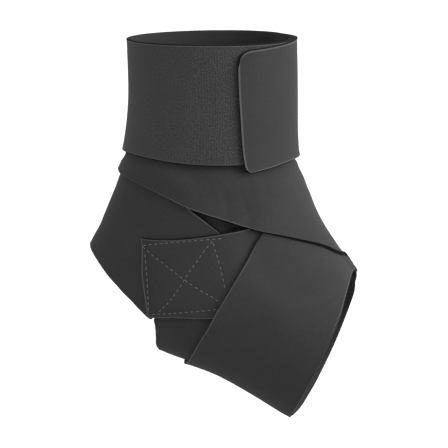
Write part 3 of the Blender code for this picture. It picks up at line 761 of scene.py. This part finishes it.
def cloth(name, band, body, nodes, face=KNIT, edge=EDGE_HIGHLIGHT, rim=FOAM,
          thin_ends=False, rounding=EDGE_ROUND, blend=None):
    """A band of cloth with rounded cut edges, as a thick sheet, by default with a painted highlight along
    those edges.
    """
    angle, station, height, u, v = band.grid()
    points = surface(angle, station, height, band.swollen)
    columns, rows = angle.shape
    faces, i, j = grid_faces(columns, rows)
    along = 0.5 * (u[i, j] + u[i + 1, j])
    # The border strip along the cut edges takes the edge material, by default the painted highlight.
    border = (j == 0) | (j == rows - 2)
    if not band.square_start:
        border |= along < EDGE_CELL
    if not band.square_end:
        border |= along > u.max() - EDGE_CELL
    made = new_object(name, points, faces, (face, edge, rim, LINING, LINING), (u, v), border.astype(int))
    mark_cut_edges(made.data, band, columns, rows)
    solid = thicken(made, band.thickness)
    solid.use_even_offset = True
    solid.material_offset = 3
    solid.material_offset_rim = 1
    if thin_ends:
        group = made.vertex_groups.new(name="thick")
        for vertex, distance in enumerate(np.minimum(u, u.max() - u).ravel()):
            share = THIN_END + (1 - THIN_END) * smoothstep(distance / THIN_END_LENGTH)
            group.add((vertex,), float(share), "REPLACE")
        solid.vertex_group = "thick"
    soften = made.modifiers.new("rounded edge", "BEVEL")
    soften.width = rounding
    soften.segments = 3
    soften.limit_method = "WEIGHT"
    soften.material = 2
    length, width = band.size()
    place_in_model(made, body, nodes, blend)


def line_points(line):
    """Angles and stations along a line through its start, middle and end."""
    start, middle, end = (np.array(point, float) for point in line)
    return through(start, middle, end, np.linspace(0, 1, LINE_POINTS)[:, None])


def zigzag(angle, half_width, first, last, turns):
    """Lines of a zigzag seam down the limb."""
    corners = [np.array((angle + half_width * (-1)**k, first + (last - first) * k / turns))
               for k in range(turns + 1)]
    return [(start, (start + end) / 2, end) for start, end in zip(corners, corners[1:])]


def along_path(at, far, values):
    """Value of each coordinate at a distance along a path."""
    return np.array([np.interp(at, far, values[:, axis]) for axis in range(3)])


def stitches(name, band, lines, node, length=STITCH, pitch=STITCH_PITCH):
    """Rows of single stitches, each a short bowed length of thread whose ends go into the cloth."""
    vertices, faces = [], []
    around, along = 8, 7
    for line in lines:
        angle, station = line_points(line).T
        base = band.dimpled_lift(angle, station) + band.thickness
        low = surface(angle, station, base, band.swollen)
        up = (surface(angle, station, base + 0.001, band.swollen) - low) / 0.001
        far = np.concatenate(([0], np.cumsum(lengths(np.diff(low, axis=0)))))
        count = max(1, int((far[-1] - length * 0.4) / pitch) + 1)
        spare = far[-1] - (count - 1) * pitch
        for k in range(count):
            centre = spare / 2 + k * pitch
            first = len(vertices)
            for ring in range(along):
                t = ring / (along - 1) * 2 - 1
                at = centre + t * length / 2
                middle = along_path(at, far, low)
                normal = along_path(at, far, up)
                tangent = along_path(at + 0.0002, far, low) - along_path(at - 0.0002, far, low)
                tangent /= np.linalg.norm(tangent) + 1e-12
                side = np.cross(normal, tangent)
                bow = (1 - t**4) * THREAD * 0.85 - THREAD * 0.55
                radius = THREAD / 2 * (0.55 + 0.45 * (1 - t**4))
                for m in range(around):
                    turn = 2 * math.pi * m / around
                    offset = side * math.cos(turn) * radius * 1.15 + normal * math.sin(turn) * radius
                    vertices.append(middle + normal * bow + offset)
            faces += tube_faces(first, along, around)
            for ring, order in ((0, -1), (along - 1, 1)):
                middle_vertex = len(vertices)
                start = first + ring * around
                vertices.append(np.mean(vertices[start:start + around], axis=0))
                for m in range(around):
                    pair = (start + m, start + (m + 1) % around)[::order]
                    faces.append((*pair, middle_vertex))
    made = new_object(name, vertices, faces, (THREAD_GREY,))
    place_in_model(made, "root", [node])


# ---- the wrap's cloth

BOX_AND_CROSS = (
    ((-113, 4.57), (-95, 4.46), (-76, 4.41)),
    ((-111, 4.80), (-113.0, 5.46), (-121.5, 6.06)),
    ((-121.5, 6.12), (-105, 6.32), (-91, 6.60)),
    ((-80, 4.56), (-79, 5.32), (-82, 6.05)),
    ((-113.5, 4.58), (-95, 5.56), (-88.5, 6.40)),
    ((-80, 4.46), (-95, 5.56), (-116.5, 6.12)))
BOX_AND_CROSS_MEDIAL = tuple(tuple((-angle, station) for angle, station in line) for line in BOX_AND_CROSS)
SOLE_LAP = (
    ((158, 7.62), (166, 7.62), (174, 7.62)),
    ((174, 7.62), (174, 8.27), (174, 8.92)),
    ((174, 8.92), (166, 8.92), (158, 8.92)),
    ((158, 8.92), (158, 8.27), (158, 7.62)))

box_lines = BOX_AND_CROSS + BOX_AND_CROSS_MEDIAL
instep_band.dimples = np.concatenate([skin(*line_points(line).T) for line in box_lines])
medial_strap.dimples = np.concatenate([skin(*line_points(line).T) for line in SOLE_LAP])

cloth("heel_panel_cloth", heel_panel, "root", ["heel_panel"])
cloth("arch_panel_cloth", arch_panel, "root", ["arch_panel"])
cloth("instep_band_cloth", instep_band, "root", ["instep_band"], thin_ends=True)
cloth("lateral_strap_cloth", lateral_strap.part(None, STRAP_SPLIT), "root", ["lateral_strap"],
      rim=STRAP_RIM)
cloth("medial_strap_cloth", medial_strap, "root", ["medial_strap"])
cloth("cuff_loop_cloth", cuff_loop, "root", ["cuff_loop_band"], face=LOOP)

stitches("box_stitching_lateral", instep_band, BOX_AND_CROSS, "box_stitch_lateral")
stitches("box_stitching_medial", instep_band, BOX_AND_CROSS_MEDIAL, "box_stitch_medial")
stitches("sole_lap_stitching", medial_strap, SOLE_LAP, "sole_lap_stitch")
stitches("cuff_back_stitching", cuff_wrap, zigzag(180.5, 2.4, 0.10, 1.84, 34), "cuff_back_stitch",
         length=0.0031, pitch=0.0050)


def fold(body, moving, hinge, direction, reach):
    """The two bodies that a fold joins, and its start and end, either side of their hinge."""
    place, direction = Vector(joints[hinge]["pos_m"]), Vector(direction).normalized()
    return body, moving, place - direction * reach, place + direction * reach


joints = {joint["name"]: joint for joint in frame["joints"]}
cloth("cuff_wrap_cloth_back", cuff_wrap.part(CUFF_SPLIT, None), "root", ["cuff_wrap_back"],
      blend=fold("root", "cuff_front", "cuff_flap_hinge", (1, 0.1, 0), 0.006))
cloth("cuff_wrap_cloth_front", cuff_wrap.part(None, CUFF_SPLIT), "cuff_front", ["cuff_flap", "closure_tab"],
      blend=fold("cuff_front", "cuff_closure", "closure_tab_hinge", (0, -1, 0), 0.004))
cloth("strap_end_cloth", strap_end, "root", ["strap_tab"],
      blend=fold("root", "strap_end", "strap_tab_hinge", (-1, 0.15, 0.1), 0.005))
cloth("strap_landing_cloth", landing_patch, "root", ["strap_landing_patch"], face=LOOP,
      edge=LOOP, rounding=0.0002)
cloth("closure_hook_tape", closure_hooks, "cuff_closure", ["closure_hook_pad"], face=HOOK, edge=HOOK,
      rounding=0.0001)
cloth("strap_hook_tape", strap_hooks, "strap_end", ["strap_hook_pad"], face=HOOK, edge=HOOK,
      rounding=0.0001)


def hooks(name, band, body):
    """Moulded hooks under a tape: short stems with flat heads, pointing at the limb."""
    length, width = band.size()
    u, v = np.meshgrid(np.linspace(0.06, 0.94, int(length / HOOK_SPACING)),
                       np.linspace(0.05, 0.95, int(width / HOOK_SPACING)), indexing="ij")
    angle, station = band.place(u.ravel(), v.ravel())
    height = band.lift(angle, station)
    roots = surface(angle, station, height)
    vertices, faces = [], []
    for root, below in zip(roots, surface(angle, station, height - 0.001)):
        axis = Vector(below - root).normalized()
        side = axis.cross(Vector((0, 0, 1))).normalized()
        other = axis.cross(side)
        first = len(vertices)
        for radius, depth in HOOK_OUTLINE:
            for k in range(HOOK_SIDES):
                turn = 2 * math.pi * k / HOOK_SIDES
                spoke = side * math.cos(turn) + other * math.sin(turn)
                vertices.append(Vector(root) + axis * depth + spoke * radius)
        faces += tube_faces(first, len(HOOK_OUTLINE), HOOK_SIDES)
        faces.append(range(first + HOOK_SIDES - 1, first - 1, -1))
        faces.append(range(len(vertices) - HOOK_SIDES, len(vertices)))
    made = new_object(name, vertices, faces, (HOOK,), smooth=False)
    place_in_model(made, body)


hooks("closure_hooks", closure_hooks, "cuff_closure")
hooks("strap_hooks", strap_hooks, "strap_end")


# ---- gel packs and sleeves

def in_sleeve(side, across, depth, height):
    """Point in a sleeve: across it, in from its outer face, and up."""
    across, depth, height = np.broadcast_arrays(across, depth, height)
    shrink = (SLEEVE_BEND - depth) / SLEEVE_BEND
    x = SLEEVE_MIDDLE + across * shrink
    y = side * (SLEEVE_REACH - SLEEVE_BEND + np.sqrt(SLEEVE_BEND**2 - across**2) * shrink)
    return np.stack((x, y, height), -1)


def sleeve_loop(turn, height):
    """Distance across a sleeve and depth into it, going once round it at a height."""
    closing = np.clip((height - SLEEVE_LOW) / SLEEVE_ROUND, 0, 1)
    fullness = np.sqrt(1.0 - 0.985 * (1 - closing) ** 2.5)
    half_width = SLEEVE_HALF_WIDTH - SLEEVE_TAPER * (1 - closing) ** 3
    across = half_width * superellipse(np.cos(turn), SLEEVE_SQUARENESS)
    half_depth = (SLEEVE_DEPTH / 2 - SLEEVE_WALL) * fullness
    crease = SLEEVE_CREASE * np.sin(9 * turn + 210 * height) * np.sin(260 * height)
    depth = SLEEVE_DEPTH / 2 - superellipse(np.sin(turn), SLEEVE_SQUARENESS) * half_depth
    return across, depth + crease * closing


def sleeve(side_name, side):
    """A mesh pouch, closed at the bottom, sewn inside the wrap."""
    around, levels = 72, 44
    turn = np.linspace(0, 2 * math.pi, around, endpoint=False)
    height = SLEEVE_LOW + (SLEEVE_HIGH - SLEEVE_LOW) * np.linspace(0, 1, levels) ** 1.3
    turn, height = np.meshgrid(turn, height, indexing="ij")
    across, depth = sleeve_loop(turn, height)
    points = in_sleeve(side, across, depth, height)
    vertex = np.arange(around * levels).reshape(around, levels)
    onward = np.roll(vertex, -1, axis=0)
    faces = np.stack((vertex[:, :-1], onward[:, :-1], onward[:, 1:], vertex[:, 1:]), -1).reshape(-1, 4)
    low, half = vertex[:, 0], around // 2
    bottom = [(low[k], low[-k % around], low[-k - 1], low[k + 1]) for k in range(1, half - 1)]
    ends = [(low[0], low[-1], low[1]), (low[half], low[half - 1], low[half + 1])]
    faces = faces.tolist() + bottom + ends
    if side > 0:
        faces = [face[::-1] for face in faces]
    girth = SLEEVE_HALF_WIDTH * 4
    uvs = turn / (2 * math.pi) * girth, height
    made = new_object(f"gel_sleeve_{side_name}_pouch", points, faces, (MESH,), uvs)
    thicken(made, SLEEVE_WALL)
    place_in_model(made, "root", [f"gel_sleeve_{side_name}"])


def mouth_tape(side_name, side):
    """Woven tape bound over the edge of a sleeve's mouth, on the side next to the skin."""
    around = 41
    outside, inside = SLEEVE_WALL + 0.0002, -0.0003
    steps_up = np.linspace(SLEEVE_HIGH - MOUTH_TAPE, SLEEVE_HIGH, 6)
    over = ((0.75, 0.0004), (0.5, 0.0006), (0.25, 0.0004))
    profile = [(outside, height) for height in steps_up]
    profile += [(inside + (outside - inside) * share, SLEEVE_HIGH + rise) for share, rise in over]
    profile += [(inside, height) for height in steps_up[::-1]]
    offset, height = np.array(profile).T
    turn, offset = np.meshgrid(np.linspace(-0.04, 0.04 - math.pi, around), offset, indexing="ij")
    height = np.broadcast_to(height, turn.shape)
    across, depth = sleeve_loop(turn, height)
    points = in_sleeve(side, across, depth + offset, height)
    levels = len(profile)
    faces, _, _ = grid_faces(around, levels)
    if side < 0:
        faces = faces[:, ::-1]
    travelled = np.broadcast_to(np.arange(levels) * 0.001, turn.shape)
    uvs = SLEEVE_HALF_WIDTH - across, travelled
    made = new_object(f"sleeve_mouth_tape_{side_name}_binding", points, faces, (MESH,), uvs)
    thicken(made, MOUTH_TAPE_WALL)
    place_in_model(made, "root", [f"sleeve_mouth_tape_{side_name}"])


def pillow(name, side, rim, edge_depth, material):
    """A closed, slightly lumpy pillow bent like its sleeve, with a flat rim round it."""
    half_width, corner = PACK_HALF_WIDTH + rim, PACK_CORNER + rim
    low, high = PACK_LOW - rim, PACK_HIGH + rim
    columns, rows = 45, 69
    u, w = np.meshgrid(np.sin(np.linspace(-1, 1, columns) * math.pi / 2),
                       np.sin(np.linspace(-1, 1, rows) * math.pi / 2), indexing="ij")
    height = (low + high) / 2 + (high - low) / 2 * w
    across = u * (half_width - corner_inset(corner, np.minimum(height - low, high - height)))
    inside = np.minimum((1 - np.abs(u)) * half_width, (1 - np.abs(w)) * (high - low) / 2)
    plump = smoothstep((inside - rim) / PACK_ROUND) ** 0.5 * (inside > rim)
    lumps = 1 + 0.07 * np.sin(310 * height + 1.1) * np.sin(420 * across + 0.6) - 0.05 * np.cos(170 * height)
    swell = edge_depth + PACK_HALF_DEPTH * np.clip(plump * lumps, 0, 1)
    middle = SLEEVE_DEPTH / 2
    front = in_sleeve(side, across, middle - swell, height)
    back = in_sleeve(side, across, middle + swell, height)
    faces, _, _ = grid_faces(columns, rows)
    count = columns * rows
    vertex = np.arange(count).reshape(columns, rows)
    border = [*vertex[:, 0], *vertex[-1, 1:], *vertex[-2::-1, -1], *vertex[0, -2:0:-1]]
    ring = [(a, b, b + count, a + count) for a, b in zip(border, border[1:] + border[:1])]
    faces = [*faces, *(faces[:, ::-1] + count), *(face[::-1] for face in ring)]
    made = new_object(name, (front, back), faces, (material,))
    closed = bmesh.new()
    closed.from_mesh(made.data)
    bmesh.ops.recalc_face_normals(closed, faces=closed.faces)
    closed.to_mesh(made.data)
    closed.free()
    return made


for side_name, side in (("lateral", -1), ("medial", 1)):
    sleeve(side_name, side)
    mouth_tape(side_name, side)
    gel = pillow(f"gel_{side_name}", side, 0.0, PACK_EDGE, GEL)
    place_in_model(gel, f"pack_{side_name}", [f"gel_core_{side_name}"])
    film = pillow(f"pack_film_{side_name}", side, WELD, PACK_EDGE + FILM_GAP, FILM)
    place_in_model(film, f"pack_{side_name}",
                   [f"gel_front_film_{side_name}", f"gel_back_film_{side_name}"])


# ---- camera, light and stage

def add_camera():
    azimuth, elevation = math.radians(CAMERA_AZIMUTH), math.radians(CAMERA_ELEVATION)
    away = Vector((math.sin(azimuth) * math.cos(elevation), -math.cos(azimuth) * math.cos(elevation),
                   math.sin(elevation)))
    data = bpy.data.cameras.new("camera")
    data.lens = FOCAL_LENGTH
    data.sensor_width = 36.0
    camera = in_scene("camera", data)
    camera.location = CAMERA_TARGET + away * CAMERA_DISTANCE
    camera.rotation_euler = (-away).to_track_quat("-Z", "Y").to_euler()
    bpy.context.scene.camera = camera


def add_key_light():
    data = bpy.data.lights.new("key", "SUN")
    data.angle = math.radians(KEY_ANGLE)
    data.energy = KEY_STRENGTH
    in_scene("key", data).rotation_euler = Vector(KEY_TOWARDS).to_track_quat("Z", "Y").to_euler()


def add_stage():
    world = bpy.data.worlds.new("studio")
    world.use_nodes = True
    nodes, links = world.node_tree.nodes, world.node_tree.links
    background = nodes["Background"]
    background.inputs["Color"].default_value = (1, 1, 1, 1)
    direction = nodes.new("ShaderNodeTexCoord")
    parts = nodes.new("ShaderNodeSeparateXYZ")
    dome = nodes.new("ShaderNodeMapRange")
    for socket, number in (("From Min", DOME_LOW), ("From Max", DOME_HIGH), ("To Min", DOME_STRENGTH)):
        dome.inputs[socket].default_value = number
    links.new(direction.outputs["Generated"], parts.inputs["Vector"])
    links.new(parts.outputs["Z"], dome.inputs["Value"])
    links.new(dome.outputs["Result"], background.inputs["Strength"])
    bpy.context.scene.world = world
    half = FLOOR_SIZE / 2
    corners = [(x * half, y * half, FLOOR_HEIGHT) for x, y in ((-1, -1), (1, -1), (1, 1), (-1, 1))]
    pale = Look("pale_floor", (0.93, 0.93, 0.93), 0.9)
    floor = new_object("floor", corners, [(0, 1, 2, 3)], [pale.material])
    floor.visible_diffuse = False
    floor.visible_glossy = False
    bpy.context.scene.view_settings.view_transform = "Standard"


add_camera()
add_stage()
add_key_light()
